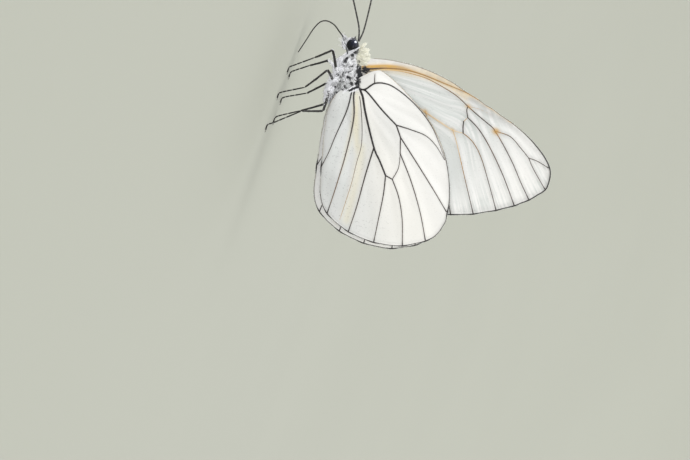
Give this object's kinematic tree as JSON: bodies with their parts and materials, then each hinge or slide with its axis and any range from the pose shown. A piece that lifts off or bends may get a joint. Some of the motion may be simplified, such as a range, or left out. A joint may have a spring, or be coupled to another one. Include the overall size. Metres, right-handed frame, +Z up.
{
  "type": "black-veined white butterfly",
  "caption": "Life-size model of a white butterfly with dark veins, standing on its feet with wings closed over its back and tongue lowered to the ground.",
  "frame": {"origin": "on the ground under the middle of the model's box", "axes": "+Z up; the head faces -Y; the butterfly's left side is +X"},
  "size_m": [0.011, 0.0434, 0.0445],
  "materials": {
    "membrane": "thin matt scaled wing, cream white with dark veins, faintly translucent",
    "fur": "long silky white and black hair",
    "collar": "long silky cream hair",
    "abdomen": "short hair and scales, dark above and pale below",
    "eye": "glossy, near black, finely faceted",
    "horn": "satin black shell with a dusting of pale scales",
    "tongue": "satin dark brown, ringed"
  },
  "bodies": {
    "root": {"abdomen": "abdomen", "antenna_left_club": "horn", "antenna_left_shaft": "horn", "antenna_right_club": "horn", "antenna_right_shaft": "horn", "collar": "collar", "eye_left": "eye", "eye_right": "eye", "forewing_left": "membrane", "forewing_right": "membrane", "head": "fur", "hindwing_left": "membrane", "hindwing_right": "membrane", "leg_front_left_coxa": "fur", "leg_front_left_femur": "horn", "leg_front_left_foot": "horn", "leg_front_left_tibia": "horn", "leg_front_right_coxa": "fur", "leg_front_right_femur": "horn", "leg_front_right_foot": "horn", "leg_front_right_tibia": "horn", "leg_hind_left_coxa": "fur", "leg_hind_left_femur": "horn", "leg_hind_left_foot": "horn", "leg_hind_left_tibia": "horn", "leg_hind_right_coxa": "fur", "leg_hind_right_femur": "horn", "leg_hind_right_foot": "horn", "leg_hind_right_tibia": "horn", "leg_middle_left_coxa": "fur", "leg_middle_left_femur": "horn", "leg_middle_left_foot": "horn", "leg_middle_left_tibia": "horn", "leg_middle_right_coxa": "fur", "leg_middle_right_femur": "horn", "leg_middle_right_foot": "horn", "leg_middle_right_tibia": "horn", "palp_left": "fur", "palp_right": "fur", "proboscis": "tongue", "thorax": "fur"}
  },
  "joints": []
}
